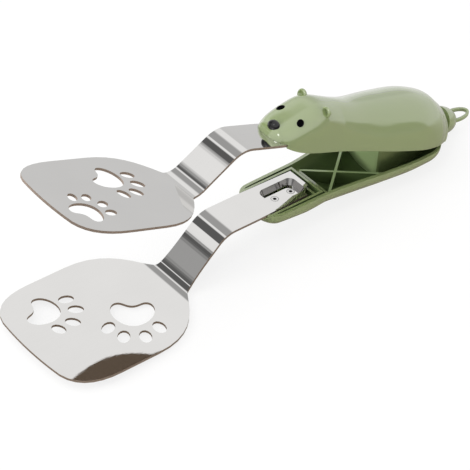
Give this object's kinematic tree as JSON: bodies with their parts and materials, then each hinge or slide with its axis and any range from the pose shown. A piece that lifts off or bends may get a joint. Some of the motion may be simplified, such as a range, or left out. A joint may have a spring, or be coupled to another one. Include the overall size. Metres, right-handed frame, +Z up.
{
  "type": "spatula tongs",
  "caption": "Hinged spatula tongs: two cranked steel blades with paw-shaped cut-outs, a bear-shaped two-part sprung handle and a pull-ring lock.",
  "frame": {"origin": "centre of the bounding box, on the table the tongs lie on", "axes": "+Z up, blades towards -X, tail ring towards +X, hinge axis along Y"},
  "size_m": [0.3224, 0.0852, 0.105],
  "materials": {
    "green_plastic": "glossy sage green",
    "blade_steel": "polished stainless steel sheet",
    "screw_steel": "plain bright steel",
    "black_plastic": "glossy black"
  },
  "bodies": {
    "lower_arm": {"lower_shell": "green_plastic", "lower_blade": "blade_steel", "lower_screw_front": "screw_steel", "lower_screw_rear": "screw_steel", "hinge_pin": "screw_steel", "torsion_spring": "screw_steel"},
    "upper_arm": {"upper_shell": "green_plastic", "upper_blade": "blade_steel", "upper_screw_front": "screw_steel", "upper_screw_rear": "screw_steel", "eye_near": "black_plastic", "eye_far": "black_plastic", "nose": "black_plastic"},
    "lock": {"lock_slider": "green_plastic", "tail_pull": "green_plastic"}
  },
  "joints": [
    {"name": "hinge", "type": "hinge", "parent": "lower_arm", "child": "upper_arm", "pos_m": [0.11914, 0, 0.01569], "axis": [0, 1, 0], "range_deg": [-19, 0], "stiffness_Nm_per_rad": 1, "springref_deg": 34.38, "deforming": ["torsion_spring"]},
    {"name": "lock_slide", "type": "slide", "parent": "upper_arm", "child": "lock", "axis": [0.9183, 0, -0.3959], "range_m": [0, 0.0035]}
  ]
}
